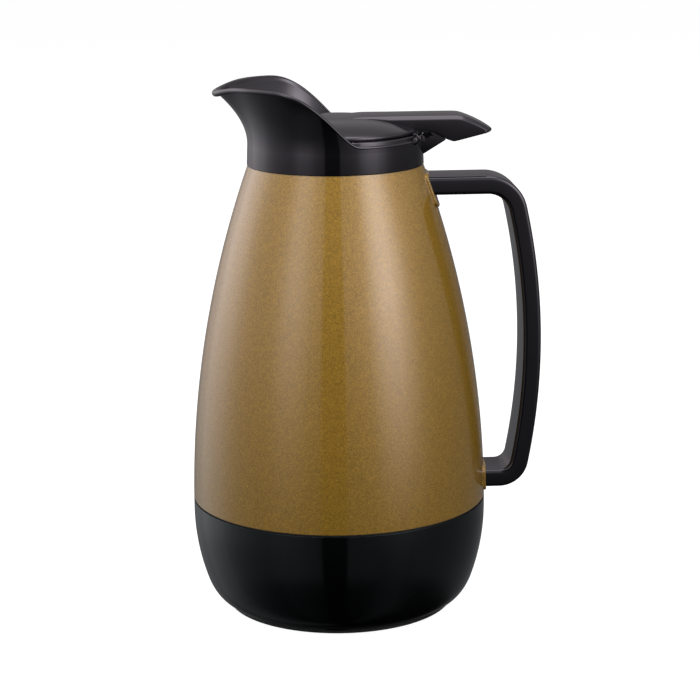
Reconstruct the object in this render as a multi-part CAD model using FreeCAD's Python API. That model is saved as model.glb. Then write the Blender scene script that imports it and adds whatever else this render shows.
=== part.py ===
import FreeCAD, Part
import math
import os
from FreeCAD import Vector

# Thermal coffee carafe, in millimetres. Z is the axis of the body and points up, the foot stands on
# Z = 0, the handle is towards +X, the spout towards -X, and both sides of Y = 0 are alike.

# Body outline: one long arc, upright at the belly, leans in to the neck
belly_radius = 65.0
belly_height = 44.0
neck_radius = 38.0
neck_height = 197.2
shell_wall = 2.0

# Base cup under the seam: its side bows in to the toe, then a corner runs through the knee to the sole
seam_rise = 4.8
base_wall = 2.4
toe_inset = 5.2
toe_height_share = 0.295
knee_inset = 7.4
knee_height_share = 0.148
sole_inset = 13.6
spigot_depth = 13.8
spigot_wall = 2.0
spigot_clearance = 0.3
spigot_shoulder = 2.0
spigot_end_play = 1.0

# Foot ring and seam seal
foot_proud = 1.9
foot_sunk = 1.2
foot_width = 5.2
foot_inset = 1.0
seal_thickness = 0.8
seal_inset = 0.6

# Glass liner: two bottles, one inside the other, joined at the mouth
liner_gap = 6.5
glass_wall = 1.6
vacuum_gap = 3.4
liner_neck_inset = 7.5
liner_neck_length = 12.6
liner_floor_gap = 3.2
mouth_rim = 1.5
liner_side_shares = (0.14, 0.4, 0.65, 0.78, 0.89)
liner_heel_radius_share = 0.66
liner_heel_rise_share = 0.02
tip_radius = 4.0
tip_length = 2.6
spacer_radius = 5.0
spacer_height_share = 0.36
spacer_count = 3
spacer_turn_share = 0.5
cushion_inner_share = 0.185
cushion_outer_share = 0.523
cushion_height = 8.0

# Neck gasket: lies on the glass mouth and hangs around it
gasket_thickness = 2.0
gasket_bore_play = 0.1
gasket_skirt = 4.0
gasket_play = 0.35

# Pour collar: ring on the neck, seat band for the lid, wall that flares into the spout
collar_foot_proud = 0.35
collar_foot_height = 0.8
shoulder_rise = 9.8
shoulder_bulge_share = 0.7
seat_rise = 3.6
seat_inset = 2.8
seat_width = 1.4
seat_depth = 3.1
throat_inset = 8.3
throat_edge = 0.6
funnel_rise = 1.6
floor_thickness = 2.9
skirt_wall = 2.0
skirt_clearance = 0.3
skirt_depth = 4.4
spout_rise = 25.4
spout_reach = 14.2
spout_wall = 2.0
spout_root = 3.5
spout_root_inset = 0.8
lip_proud = 0.4
lip_height = 1.8
lip_nose_share = 0.45
flare_power = 1.9
flare_shares = (0, 0.18, 0.45, 0.74, 1)

# Stations of the spout wall: degrees from the spout's tip, then shares of the spout's rise, reach and
# lip. The other side mirrors them, and the last ones sink into the ring.
station_shares = (
    (0, 0.900, 1.000, 1.00),
    (16, 0.970, 0.690, 0.90),
    (32, 1.000, 0.530, 0.78),
    (48, 0.995, 0.450, 0.68),
    (62, 0.935, 0.406, 0.60),
    (74, 0.735, 0.236, 0.54),
    (86, 0.430, 0.068, 0.50),
    (96, 0.165, 0.000, 0.46),
    (104, 0.025, 0.000, 0.42),
    (112, -0.055, 0.000, 0.38),
)

# Hinge of the lid
pin_inset = 5.0
pin_drop = 2.3
pin_radius = 1.4
pin_length = 31.6
pin_running_fit = 0.05
pin_seat_fit = 0.01
barrel_radius = 2.8
barrel_length = 23.4
notch_play = 0.4
gusset_width = 11.0
gusset_reach = 9.5
gusset_drop = 5.8
gusset_end_drop = 1.2
gusset_end_rise = 0.3
gusset_peak_run = 1.7
gusset_peak_rise = 3.8
gusset_step_run = 0.6
gusset_step_rise = 1.6
gusset_root = 1.2

# Lid cover: its dome falls from the crown with the cube of the radius
lid_play = 0.4
lid_rise = 6.8
lid_edge_round = 1.2
lid_wall = 2.0
lid_lip = 0.5
lid_bulge_share = 0.71
lid_bulge_drop = 1.9
lid_dome_power = 3
lid_dome_shares = (0, 0.42, 0.74, 1)
web_front_run = 2.0
web_back_share = 0.75

# Thumb lever on the lid: lengths along it are shares of its reach behind the pin
lever_width = 20.4
lever_bevel = 1.8
lever_proud = 0.5
lever_front_inset = 8.2
lever_level_run = 21.0
lever_reach = 34.8
lever_bend_share = 0.595
lever_bow_share = 0.853
lever_bend_radius = 8.7
lever_chin_share = 0.509
lever_arch_share = 0.132
lever_hollow_share = 0.103
lever_hollow_end_share = 0.75
lever_bow_drop = 3.8
lever_tip_drop = 6.8
lever_tip_edge = 0.5
lever_chin_drop = 11.4
lever_arch_drop = 6.3
lever_sunk = 1.0
lever_sunk_shares = (1, 0.65, 0.3, 0)
lever_wall = 2.5
lever_top_wall = 2.0
lever_corner = 4.0

# Lid plug and its seal
plug_flange_drop = 1.2
plug_flange_thickness = 1.4
plug_depth = 6.0
plug_play = 1.7
plug_taper = 1.4
plug_wall = 1.6
plug_snap_play = 0.15
plug_ring_inset = 6.2
plug_ring_wall = 2.0
plug_ring_sunk = 0.3
plug_back_play = 0.5
lid_gasket_overlap = 1.7
lid_gasket_thickness = 1.3

# Handle: a flat strap bent to a D, its long side gently bowed
handle_top_drop = 5.4
handle_bottom_rise = 3.4
handle_stand = 24.2
handle_bow_share = 0.4657
handle_bow_radius = 280.0
handle_thickness = 7.9
handle_width = 22.6
handle_edge = 1.6
handle_top_bend = 17.4
handle_bottom_bend = 13.0

# Pads of the shell behind the ends of the handle
pad_proud = 1.0
pad_side_margin = 1.0
pad_upper_margin = 1.4
pad_lower_margin = 5.2
pad_corner = 3.0

# Screws, washers and the bosses that they pull on
screw_radius = 1.75
screw_grip = 8.0
screw_end_play = 0.8
screw_head_radius = 3.2
screw_head_height = 2.4
screw_play = 0.1
washer_radius = 4.2
washer_thickness = 0.8
boss_radius = 5.0
boss_depth = 1.0

# How far a cutting tool runs past what it cuts
overrun = 2.0

z_axis = Vector(0, 0, 1)
origin = Vector(0, 0, 0)


# Drawing helpers: outlines lie in the plane Y = 0, as distance from the axis and height

def at(r, z):
    return Vector(r, 0, z)


def line(a, b):
    return Part.LineSegment(a, b).toShape()


def arc(a, middle, b):
    return Part.Arc(a, middle, b).toShape()


def spline(points, start=None, end=None):
    curve = Part.BSplineCurve()
    if start is None:
        curve.interpolate(Points=points)
    else:
        curve.interpolate(Points=points, InitialTangent=start, FinalTangent=end)
    return curve.toShape()


def path(points):
    return [line(a, b) for a, b in zip(points, points[1:])]


def face_of(edges):
    return Part.Face(Part.Wire(edges))


def turned(edges):
    return face_of(edges).revolve(origin, z_axis, 360)


def turned_polygon(points):
    return turned(path(points + points[:1]))


def slab(edges, width):
    face = face_of(edges)
    face.translate(Vector(0, -width / 2, 0))
    return face.extrude(Vector(0, width, 0))


def rod_x(radius, x_low, x_high, z):
    return Part.makeCylinder(radius, x_high - x_low, Vector(x_low, 0, z), Vector(1, 0, 0))


def rod_y(radius, length, x, z):
    return Part.makeCylinder(radius, length, Vector(x, -length / 2, z), Vector(0, 1, 0))


def block(x_low, x_high, width, z_low, z_high):
    return Part.makeBox(x_high - x_low, width, z_high - z_low, Vector(x_low, -width / 2, z_low))


# Long arc of the body
arc_in = belly_radius - neck_radius
arc_up = neck_height - belly_height
side_arc_radius = (arc_in ** 2 + arc_up ** 2) / (2 * arc_in)
side_arc_centre = belly_radius - side_arc_radius


def side_radius(z, inset=0):
    return side_arc_centre + math.sqrt((side_arc_radius - inset) ** 2 - (z - belly_height) ** 2)


def side_point(z, inset=0):
    return at(side_radius(z, inset), z)


def side_arc(z_from, z_to, inset=0):
    middle = (z_from + z_to) / 2
    return arc(side_point(z_from, inset), side_point(middle, inset), side_point(z_to, inset))


def body_core(inset=0):
    low = at(0, base_top)
    high = at(0, neck_height)
    edges = [line(low, side_point(base_top, inset)), side_arc(base_top, neck_height, inset)]
    edges += path([side_point(neck_height, inset), high, low])
    return turned(edges)


# Heights and radii that several pieces share
seam_height = belly_height + seam_rise
base_top = seam_height - seal_thickness / 2
shell_bottom = seam_height + seal_thickness / 2
toe_radius = belly_radius - toe_inset
toe_height = toe_height_share * belly_height
knee_radius = belly_radius - knee_inset
knee_height = knee_height_share * belly_height
sole_radius = belly_radius - sole_inset
socket_radius = belly_radius - base_wall
spigot_radius = socket_radius - spigot_clearance
spigot_bottom = seam_height - spigot_depth
base_bottom = foot_proud
foot_outer_radius = sole_radius - foot_inset
foot_inner_radius = foot_outer_radius - foot_width
foot_seat = base_bottom + foot_sunk
base_floor = foot_seat + base_wall

shoulder_height = neck_height + shoulder_rise
seat_height = shoulder_height + seat_rise
seat_outer_radius = neck_radius - seat_inset
seat_inner_radius = seat_outer_radius - seat_width
throat_radius = seat_inner_radius - throat_inset
collar_floor = seat_height - seat_depth
gasket_top = collar_floor - floor_thickness
skirt_radius = neck_radius - shell_wall - skirt_clearance
skirt_inner_radius = skirt_radius - skirt_wall
liner_mouth = gasket_top - gasket_thickness
liner_neck_bottom = liner_mouth - liner_neck_length
liner_neck_radius = neck_radius - liner_neck_inset
liner_floor = base_floor + liner_floor_gap

pin_x = neck_radius - pin_inset
pin_z = seat_height - pin_drop
lid_radius = seat_outer_radius
lid_bottom = seat_height + lid_play
lid_crown = lid_bottom + lid_rise
lid_bulge_radius = lid_bulge_share * lid_radius
lever_top = lid_crown + lever_proud
lever_tip_x = pin_x + lever_reach
lever_tip_z = lever_top - lever_tip_drop
lever_chin_z = lever_top - lever_chin_drop
lever_hollow_x = pin_x + lever_hollow_share * lever_reach
web_front_x = pin_x - web_front_run
plug_flange_bottom = seat_height - plug_flange_drop
plug_flange_top = plug_flange_bottom + plug_flange_thickness
plug_top_radius = throat_radius - plug_play

handle_top = neck_height - handle_top_drop
handle_bottom = seam_height + handle_bottom_rise
handle_ends = (handle_top - handle_thickness / 2, handle_bottom + handle_thickness / 2)


# Outer shell, with the pads and screw bosses of the handle

def pad_outline(z_low, z_high, width):
    box = block(0, belly_radius + overrun, width, z_low, z_high)
    along_x = [e for e in box.Edges if abs(e.Vertexes[0].X - e.Vertexes[-1].X) > pad_corner]
    return box.makeFillet(pad_corner, along_x)


def handle_pads():
    width = handle_width + 2 * pad_side_margin
    upper_foot = handle_top - handle_thickness - pad_lower_margin
    lower_foot = (handle_bottom + shell_bottom) / 2
    upper = pad_outline(upper_foot, handle_top + pad_upper_margin, width)
    lower = pad_outline(lower_foot, handle_bottom + handle_thickness + pad_upper_margin, width)
    skin = body_core(-pad_proud).cut(body_core(shell_wall / 2))
    return upper.fuse(lower).common(skin)


def boss_face(z):
    return side_radius(z + boss_radius, shell_wall) - boss_depth


def make_outer_shell():
    step = shell_bottom + spigot_shoulder
    spigot_inner = spigot_radius - spigot_wall
    edges = [side_arc(shell_bottom, neck_height)]
    edges += path([side_point(neck_height), side_point(neck_height, shell_wall)])
    edges += [side_arc(neck_height, step, shell_wall)]
    edges += path([side_point(step, shell_wall), at(spigot_inner, shell_bottom),
                   at(spigot_inner, spigot_bottom), at(spigot_radius, spigot_bottom),
                   at(spigot_radius, shell_bottom), side_point(shell_bottom)])
    shell = turned(edges).fuse(handle_pads())
    inside = body_core(shell_wall / 2)
    for z in handle_ends:
        shell = shell.fuse(rod_x(boss_radius, boss_face(z), belly_radius, z).common(inside))
    for z in handle_ends:
        hole = rod_x(screw_radius + screw_play, boss_face(z) - overrun, belly_radius + overrun, z)
        shell = shell.cut(hole)
    return shell.removeSplitter()


# Base cup: closed from below, its socket takes the spigot of the shell

def make_base_cup():
    socket_bottom = spigot_bottom - spigot_end_play
    bow_in = belly_radius - toe_radius
    bow_up = belly_height - toe_height
    bow = (bow_in ** 2 + bow_up ** 2) / (2 * bow_in)
    middle = (belly_height + toe_height) / 2
    bow_middle = at(belly_radius - bow + math.sqrt(bow ** 2 - (belly_height - middle) ** 2), middle)
    toe = at(toe_radius, toe_height)
    sole = at(sole_radius, base_bottom)
    inner_toe = at(toe_radius - base_wall, toe_height + base_wall / 2)
    inner_knee = at(knee_radius - base_wall, knee_height + base_wall)
    inner_sole = at(sole_radius - base_wall, base_floor)
    edges = [side_arc(base_top, belly_height)]
    edges += [arc(at(belly_radius, belly_height), bow_middle, toe)]
    edges += [arc(toe, at(knee_radius, knee_height), sole)]
    edges += path([sole, at(foot_outer_radius, base_bottom), at(foot_outer_radius, foot_seat),
                   at(foot_inner_radius, foot_seat), at(foot_inner_radius, base_bottom),
                   at(0, base_bottom), at(0, base_floor), inner_sole])
    edges += [arc(inner_sole, inner_knee, inner_toe)]
    edges += path([inner_toe, at(socket_radius - spigot_wall, socket_bottom),
                   at(socket_radius, socket_bottom), at(socket_radius, base_top), side_point(base_top)])
    return turned(edges)


def make_foot_ring():
    return turned_polygon([at(foot_inner_radius, 0), at(foot_outer_radius, 0),
                           at(foot_outer_radius, foot_seat), at(foot_inner_radius, foot_seat)])


def make_base_seal_ring():
    outer = side_radius(seam_height) - seal_inset
    return turned_polygon([at(spigot_radius + spigot_clearance, base_top), at(outer, base_top),
                           at(outer, shell_bottom), at(spigot_radius + spigot_clearance, shell_bottom)])


# Glass liner

def liner_curve(inset):
    rise = liner_neck_bottom - liner_floor
    points = [at(liner_neck_radius - inset, liner_neck_bottom)]
    for share in liner_side_shares:
        z = liner_neck_bottom - share * rise
        points.append(at(side_radius(z, shell_wall + liner_gap) - inset, z))
    heel = liner_heel_radius_share * (belly_radius - shell_wall - liner_gap)
    points.append(at(heel - inset, liner_floor + liner_heel_rise_share * rise + inset))
    points.append(at(0, liner_floor + inset))
    return spline(points, Vector(0, 0, -1), Vector(-1, 0, 0))


def liner_core(inset, top):
    edges = path([at(0, liner_floor + inset), at(0, top), at(liner_neck_radius - inset, top),
                  at(liner_neck_radius - inset, liner_neck_bottom)])
    return turned(edges + [liner_curve(inset)])


def make_glass_outer_bottle():
    rim_bottom = liner_mouth - mouth_rim
    bottle = liner_core(0, rim_bottom)
    tip = Part.makeCone(tip_radius / 2, tip_radius, tip_length + glass_wall / 2,
                        Vector(0, 0, liner_floor - tip_length))
    return bottle.fuse(tip).cut(liner_core(glass_wall, rim_bottom + overrun)).removeSplitter()


def make_glass_inner_bottle():
    outside = glass_wall + vacuum_gap
    rim_bottom = liner_mouth - mouth_rim
    rim = Part.makeCylinder(liner_neck_radius, mouth_rim, Vector(0, 0, rim_bottom))
    bottle = liner_core(outside, liner_mouth).fuse(rim)
    return bottle.cut(liner_core(outside + glass_wall, liner_mouth + overrun)).removeSplitter()


def make_liner_spacers():
    z = spacer_height_share * neck_height
    rod = rod_x(spacer_radius, belly_radius / 2, belly_radius, z)
    pad = rod.common(liner_core(glass_wall, liner_mouth))
    pad = pad.cut(liner_core(glass_wall + vacuum_gap, liner_mouth))
    pads = []
    for index in range(spacer_count):
        turned_pad = pad.Solids[0].copy()
        turned_pad.rotate(origin, z_axis, (index + spacer_turn_share) * 360 / spacer_count)
        pads.append(turned_pad)
    return Part.makeCompound(pads)


def make_liner_cushion():
    inner = cushion_inner_share * belly_radius
    outer = cushion_outer_share * belly_radius
    top = base_floor + cushion_height
    ring = turned_polygon([at(inner, base_floor), at(outer, base_floor), at(outer, top), at(inner, top)])
    return ring.cut(liner_core(0, liner_mouth))


def make_neck_gasket():
    inner = liner_neck_radius + gasket_play
    outer = skirt_inner_radius - gasket_play
    low = liner_mouth - gasket_skirt
    bore = throat_radius + gasket_bore_play
    return turned_polygon([at(bore, liner_mouth), at(inner, liner_mouth), at(inner, low),
                           at(outer, low), at(outer, gasket_top), at(bore, gasket_top)])


# Pour collar: a turned ring, and a spout wall lofted through upright sections that stand round the axis

def collar_ring():
    low = neck_height - skirt_depth
    foot = neck_radius + collar_foot_proud
    foot_top = neck_height + collar_foot_height
    shoulder = at(neck_radius, shoulder_height)
    seat_edge = at(seat_outer_radius, seat_height)
    bulge = at(seat_outer_radius + shoulder_bulge_share * (neck_radius - seat_outer_radius),
               shoulder_height + shoulder_bulge_share * (seat_height - shoulder_height))
    edges = path([at(skirt_inner_radius, low), at(skirt_radius, low), at(skirt_radius, neck_height),
                  at(foot, neck_height), at(foot, foot_top),
                  at(neck_radius, foot_top + collar_foot_proud), shoulder])
    edges += [arc(shoulder, bulge, seat_edge)]
    edges += path([seat_edge, at(seat_inner_radius, seat_height),
                   at(seat_inner_radius, collar_floor + funnel_rise),
                   at(throat_radius + throat_edge, collar_floor),
                   at(throat_radius, collar_floor - throat_edge), at(throat_radius, gasket_top),
                   at(skirt_inner_radius, gasket_top), at(skirt_inner_radius, low)])
    return turned(edges)


def spout_section(angle, rise_share, reach_share, lip_share):
    rim = shoulder_height + rise_share * spout_rise
    lip = lip_share * lip_height
    lip_foot = rim - lip
    root = shoulder_height - spout_root

    def outside(z):
        if z <= shoulder_height:
            return neck_radius - spout_root_inset * (shoulder_height - z) / spout_root
        climb = (z - shoulder_height) / (rim - shoulder_height)
        return neck_radius + reach_share * spout_reach * climb ** flare_power

    levels = [root + share * (lip_foot - root) for share in flare_shares]
    outer = [at(outside(z), z) for z in levels]
    inner = [at(outside(z) - spout_wall, z) for z in levels[:-1]]
    inner.append(at(outside(rim) - spout_wall, rim))
    nose = at(outside(rim) + lip_proud * lip_share ** 2, rim - lip_nose_share * lip)
    edges = [spline(outer), arc(outer[-1], nose, inner[-1])]
    edges += [spline(inner[::-1]), line(inner[0], outer[0])]
    wire = Part.Wire(edges)
    wire.rotate(origin, z_axis, 180 + angle)
    return wire


def spout():
    mirrored = [(-station[0],) + station[1:] for station in station_shares[:0:-1]]
    sections = [spout_section(*station) for station in mirrored + list(station_shares)]
    return Part.makeLoft(sections, True, False, False)


def hinge_gusset():
    root = neck_radius - gusset_root
    end = neck_radius + gusset_reach
    end_low = pin_z - gusset_end_drop
    low = end_low - gusset_drop
    foot = at(root, low)
    edges = path([foot, at(root, pin_z), at(neck_radius + gusset_step_run, pin_z + gusset_step_rise),
                  at(neck_radius + gusset_peak_run, pin_z + gusset_peak_rise),
                  at(end, pin_z + gusset_end_rise), at(end, end_low), at(neck_radius, low), foot])
    return slab(edges, gusset_width)


def hinge_notch():
    radius = barrel_radius + notch_play
    behind = neck_radius + overrun
    above = seat_height + overrun
    edges = [arc(at(pin_x - radius, pin_z), at(pin_x, pin_z - radius), at(pin_x + radius, pin_z))]
    edges += path([at(pin_x + radius, pin_z), at(behind, pin_z), at(behind, above),
                   at(pin_x - radius, above), at(pin_x - radius, pin_z)])
    return slab(edges, barrel_length + 2 * notch_play)


def make_pour_collar():
    collar = collar_ring().fuse(spout()).cut(hinge_notch()).fuse(hinge_gusset())
    return collar.cut(rod_y(pin_radius + pin_seat_fit, 2 * neck_radius, pin_x, pin_z)).removeSplitter()


def make_hinge_pin():
    return rod_y(pin_radius, pin_length, pin_x, pin_z)


# Lid cover: a thin dome with the thumb lever on its crown

def dome_height(r):
    return lid_crown - lid_bulge_drop * (r / lid_bulge_radius) ** lid_dome_power


def dome_roof(r):
    rim = lid_radius - lid_wall
    roof = lid_crown - lid_wall
    return roof - (roof - lid_bottom - lid_lip) * (r / rim) ** lid_dome_power


def lid_dome():
    rim = lid_radius - lid_edge_round
    inner = lid_radius - lid_wall
    outside = [at(share * rim, dome_height(share * rim)) for share in lid_dome_shares]
    inside = [at(share * inner, dome_roof(share * inner)) for share in lid_dome_shares]
    edges = [spline(outside)]
    edges += path([outside[-1], at(lid_radius, outside[-1].z - lid_edge_round), at(lid_radius, lid_bottom),
                   at(inner, lid_bottom), inside[-1]])
    edges += [spline(inside[::-1]), line(inside[0], outside[0])]
    return turned(edges)


def lever_solid():
    deep = lever_chin_z - overrun
    front_x = lever_front_inset - lid_radius
    bend_x = pin_x + lever_bend_share * lever_reach
    level_x = pin_x - lever_level_run
    front = at(front_x, dome_height(-front_x) - lever_sunk)
    bend = at(bend_x, lever_top)
    bow = at(pin_x + lever_bow_share * lever_reach, lever_top - lever_bow_drop)
    tip = at(lever_tip_x, lever_tip_z)
    side = path([front, at(level_x, lever_top), bend]) + [arc(bend, bow, tip)]
    side += path([tip, at(lever_tip_x, deep), at(front_x, deep), front])
    bar = slab(side, lever_width)
    crease = [e for e in bar.Edges if bend_x - overrun < e.CenterOfMass.x < bend_x + overrun
              and e.CenterOfMass.z > lever_tip_z and e.Length > lever_width - overrun]
    bar = bar.makeFillet(lever_bend_radius, crease)
    long_edges = [e for e in bar.Edges if min(v.X for v in e.Vertexes) > level_x - overrun
                  and min(v.Z for v in e.Vertexes) > lever_tip_z - lever_tip_edge
                  and max(v.X for v in e.Vertexes) - min(v.X for v in e.Vertexes) > lever_tip_edge]
    bar = bar.makeChamfer(lever_bevel, long_edges)

    plan = block(front_x, lever_tip_x, lever_width, deep - overrun, lever_top + overrun)
    ends = [e for e in plan.Edges if min(v.X for v in e.Vertexes) > bend_x
            and max(v.Z for v in e.Vertexes) > lever_top and min(v.Z for v in e.Vertexes) < deep]
    bar = bar.common(plan.makeFillet(lever_corner, ends))

    under_tip = lever_tip_z - lever_tip_edge
    arch = lever_top - lever_arch_drop
    tip_end = lever_tip_x + overrun
    front_end = front_x - overrun
    sunk_runs = [share * web_front_x for share in lever_sunk_shares]
    sunk = [at(run, dome_height(run) - lever_sunk) for run in sunk_runs]
    under = path([at(tip_end, under_tip), at(lever_tip_x, under_tip),
                  at(pin_x + lever_chin_share * lever_reach, lever_chin_z),
                  at(pin_x + lever_arch_share * lever_reach, arch), at(pin_x, arch)] + sunk +
                 [at(front_end, front.z - lever_sunk), at(front_end, deep - overrun),
                  at(tip_end, deep - overrun), at(tip_end, under_tip)])
    return bar.cut(slab(under, lever_width + overrun))


def lever_hollow():
    roof = lever_top - lever_top_wall
    low = lever_chin_z - overrun
    end_x = pin_x + lever_hollow_end_share * lever_reach
    start = at(lever_hollow_x, low)
    edges = path([start, at(lever_hollow_x, roof), at(pin_x + lever_bend_share * lever_reach, roof),
                  at(end_x, lever_tip_z), at(end_x, low), start])
    return slab(edges, lever_width - 2 * lever_wall)


def plug_ring():
    middle = lid_radius - plug_ring_inset
    inner = middle - plug_ring_wall / 2
    outer = middle + plug_ring_wall / 2
    high = dome_roof(inner) + plug_ring_sunk
    low = plug_flange_top
    return turned_polygon([at(inner, low), at(outer, low), at(outer, high), at(inner, high)])


def make_lid_cover():
    barrel = rod_y(barrel_radius, barrel_length, pin_x, pin_z)
    web_back = pin_x + web_back_share * barrel_radius
    web_top = lever_top - lever_arch_drop / 2
    web = block(web_front_x, web_back, lever_width - 2 * lever_bevel, pin_z, web_top)
    cover = lid_dome().fuse(plug_ring()).fuse(lever_solid()).cut(lever_hollow()).fuse(web).fuse(barrel)
    return cover.cut(rod_y(pin_radius + pin_running_fit, 2 * lever_width, pin_x, pin_z)).removeSplitter()


def make_lid_plug():
    flange_radius = lid_radius - lid_wall - plug_snap_play
    bottom = plug_flange_bottom - plug_depth
    bottom_radius = plug_top_radius - plug_taper
    well = bottom + plug_wall
    plug = turned_polygon([at(0, bottom), at(bottom_radius, bottom),
                           at(plug_top_radius, plug_flange_bottom), at(flange_radius, plug_flange_bottom),
                           at(flange_radius, plug_flange_top),
                           at(plug_top_radius - plug_wall, plug_flange_top),
                           at(bottom_radius - plug_wall, well), at(0, well)])
    back = pin_x - barrel_radius - plug_back_play
    return plug.cut(block(back, lid_radius + overrun, 2 * lid_radius, bottom, lid_crown))


def make_lid_gasket():
    low = plug_flange_bottom - lid_gasket_thickness
    bore = plug_top_radius + plug_snap_play
    outer = throat_radius + lid_gasket_overlap
    high = plug_flange_bottom
    return turned_polygon([at(bore, low), at(outer, low), at(outer, high), at(bore, high)])


# Handle

def handle_line(inset):
    bow = handle_bow_radius - inset
    bow_x = belly_radius + handle_stand - handle_bow_radius
    bow_height = handle_bottom + handle_bow_share * (handle_top - handle_bottom)
    bends = []
    for level, bend, way in ((handle_top, handle_top_bend, 1), (handle_bottom, handle_bottom_bend, -1)):
        centre_z = level - way * bend
        rise = centre_z - bow_height
        centre_x = bow_x + math.sqrt((handle_bow_radius - bend) ** 2 - rise ** 2)
        lean = math.asin(rise / (handle_bow_radius - bend))
        bends.append((at(centre_x, centre_z), bend - inset, lean, way))
    (top, top_r, top_lean, _), (low, low_r, low_lean, _) = bends

    def around(centre, radius, turn):
        return at(centre.x + radius * math.cos(turn), centre.z + radius * math.sin(turn))

    bow_centre = at(bow_x, bow_height)
    quarter = math.pi / 2
    start = at(0, handle_top - inset)
    end = at(0, handle_bottom + inset)
    edges = [line(start, around(top, top_r, quarter))]
    edges += [arc(around(top, top_r, quarter), around(top, top_r, (quarter + top_lean) / 2),
                  around(top, top_r, top_lean))]
    edges += [arc(around(bow_centre, bow, top_lean), around(bow_centre, bow, (top_lean + low_lean) / 2),
                  around(bow_centre, bow, low_lean))]
    edges += [arc(around(low, low_r, low_lean), around(low, low_r, (low_lean - quarter) / 2),
                  around(low, low_r, -quarter))]
    edges += [line(around(low, low_r, -quarter), end)]
    return edges, start, end


def make_handle():
    outer, outer_start, outer_end = handle_line(0)
    inner, inner_start, inner_end = handle_line(handle_thickness)
    ends = [line(outer_end, inner_end), line(inner_start, outer_start)]
    strap = slab(outer + ends[:1] + inner[::-1] + ends[1:], handle_width)
    side = handle_width / 2 - handle_edge
    long_edges = [e for e in strap.Edges if abs(e.CenterOfMass.y) > side
                  and max(v.X for v in e.Vertexes) > handle_edge]
    strap = strap.makeFillet(handle_edge, long_edges).cut(body_core(-pad_proud))
    for z in handle_ends:
        depth = side_radius(z, -pad_proud) + screw_grip + screw_end_play
        strap = strap.cut(rod_x(screw_radius + screw_play, 0, depth, z))
    return strap


def make_handle_screws():
    screws = []
    for z in handle_ends:
        under_head = boss_face(z) - washer_thickness
        reach = side_radius(z, -pad_proud) + screw_grip
        head = rod_x(screw_head_radius, under_head - screw_head_height, under_head, z)
        screws.append(head.fuse(rod_x(screw_radius, under_head, reach, z)).removeSplitter())
    return Part.makeCompound(screws)


def make_handle_washers():
    washers = []
    for z in handle_ends:
        face = boss_face(z)
        disc = rod_x(washer_radius, face - washer_thickness, face, z)
        washers.append(disc.cut(rod_x(screw_radius + screw_play, face - overrun, face + overrun, z)))
    return Part.makeCompound(washers)


pieces = {
    "outer_shell": make_outer_shell,
    "base_cup": make_base_cup,
    "foot_ring": make_foot_ring,
    "base_seal_ring": make_base_seal_ring,
    "liner_cushion": make_liner_cushion,
    "glass_outer_bottle": make_glass_outer_bottle,
    "glass_inner_bottle": make_glass_inner_bottle,
    "liner_spacers": make_liner_spacers,
    "neck_gasket": make_neck_gasket,
    "pour_collar": make_pour_collar,
    "hinge_pin": make_hinge_pin,
    "lid_cover": make_lid_cover,
    "lid_plug": make_lid_plug,
    "lid_gasket": make_lid_gasket,
    "handle": make_handle,
    "handle_screws": make_handle_screws,
    "handle_washers": make_handle_washers,
}

os.makedirs("parts", exist_ok=True)
for name, make in pieces.items():
    shape = make()
    if shape.ShapeType == "Compound" and len(shape.Solids) == 1:
        shape = shape.Solids[0]
    shape.exportStep("parts/" + name + ".step")
    print(name, "solids", len(shape.Solids), "volume mm3", round(shape.Volume), "valid", shape.isValid())
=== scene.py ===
import bpy
import bmesh
import math
import numpy as np
from mathutils import Matrix


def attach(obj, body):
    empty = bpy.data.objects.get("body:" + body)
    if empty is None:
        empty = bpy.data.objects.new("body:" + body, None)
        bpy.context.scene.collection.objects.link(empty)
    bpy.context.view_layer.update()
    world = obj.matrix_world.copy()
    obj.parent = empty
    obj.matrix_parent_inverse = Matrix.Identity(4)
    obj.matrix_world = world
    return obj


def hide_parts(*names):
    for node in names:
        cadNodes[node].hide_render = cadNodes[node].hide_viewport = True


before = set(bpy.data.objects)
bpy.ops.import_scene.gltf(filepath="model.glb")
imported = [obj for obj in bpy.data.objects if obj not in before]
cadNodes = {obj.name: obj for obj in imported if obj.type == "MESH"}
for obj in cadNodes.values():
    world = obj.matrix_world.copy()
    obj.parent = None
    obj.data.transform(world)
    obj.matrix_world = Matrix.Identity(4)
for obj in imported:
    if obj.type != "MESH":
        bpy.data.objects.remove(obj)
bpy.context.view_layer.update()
mm = 0.001  # shapes are worked out in millimetres, meshes are in metres


# grids and profiles

def smoothStep(t):  # 0 up to t = 0, 1 from t = 1, level at both ends
    t = np.clip(t, 0, 1)
    return t * t * (3 - 2 * t)


def softMax(a, b, soft):
    # the larger of two values, with a rounded change between them; soft is the square of the rounding's size
    return (a + b + np.sqrt((a - b) ** 2 + soft)) / 2


def softMin(a, b, soft):  # the smaller one, in the same way
    return (a + b - np.sqrt((a - b) ** 2 + soft)) / 2


def cubicRun(start, first, second, end, t):
    # cubic curve from start to end that sets out towards the first pull and comes in from the second
    return (1 - t) ** 3 * start + 3 * t * (1 - t) ** 2 * first + 3 * t * t * (1 - t) * second + t ** 3 * end


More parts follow.
